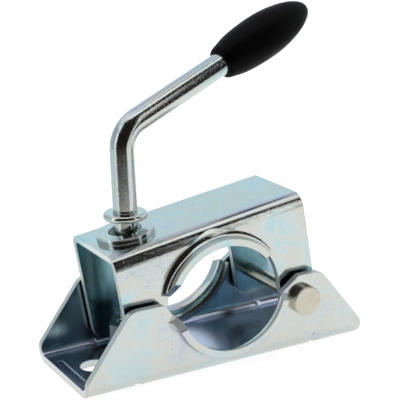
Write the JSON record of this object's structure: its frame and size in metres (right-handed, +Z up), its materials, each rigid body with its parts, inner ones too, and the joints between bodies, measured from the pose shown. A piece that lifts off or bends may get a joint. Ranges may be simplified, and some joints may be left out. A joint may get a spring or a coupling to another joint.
{
  "type": "prop stand clamp",
  "caption": "Pressed steel split clamp that grips a round prop stand tube on a trailer, drawn together by a cranked screw handle with a plastic grip.",
  "frame": {"origin": "underside of the base bracket, under the middle of the cradle", "axes": "+X along the clamp from the screw towards the hinge, +Y along the tube away from the pin's head, +Z up"},
  "size_m": [0.1299, 0.0602, 0.1404],
  "materials": {
    "zinc_plate": "bright blue-white zinc plating",
    "black_grip": "satin black moulded plastic"
  },
  "bodies": {
    "base": {"base_bracket": "zinc_plate", "clamp_nut": "zinc_plate", "pivot_pin": "zinc_plate"},
    "arm": {"clamp_arm": "zinc_plate"},
    "washer": {"flat_washer": "zinc_plate"},
    "collar": {"handle_collar": "zinc_plate"},
    "handle": {"handle_rod": "zinc_plate", "handle_grip": "black_grip"}
  },
  "joints": [
    {"name": "screw_rise", "type": "slide", "parent": "base", "child": "collar", "axis": [0, 0, 1], "range_m": [-0.00113, 0.01013]},
    {"name": "handle_turn", "type": "hinge", "parent": "collar", "child": "handle", "pos_m": [-0.0325, 0, 0.066], "axis": [0, 0, 1], "range_deg": [-270, 2430]},
    {"name": "arm_pivot", "type": "hinge", "parent": "base", "child": "arm", "pos_m": [0.03514, 0, 0.0224], "axis": [0, 1, 0], "range_deg": [-1, 8.9]},
    {"name": "washer_shift", "type": "slide", "parent": "arm", "child": "washer", "axis": [0.9901, 0, 0.1402], "range_m": [-0.00625, 0.0007]}
  ],
  "couplings": [
    {"joint": "screw_rise", "follows": "handle_turn", "m_per_rad": 0.00023873},
    {"joint": "arm_pivot", "follows": "handle_turn", "ratio": 0.00365},
    {"joint": "washer_shift", "follows": "handle_turn", "m_per_rad": -0.00014706}
  ]
}
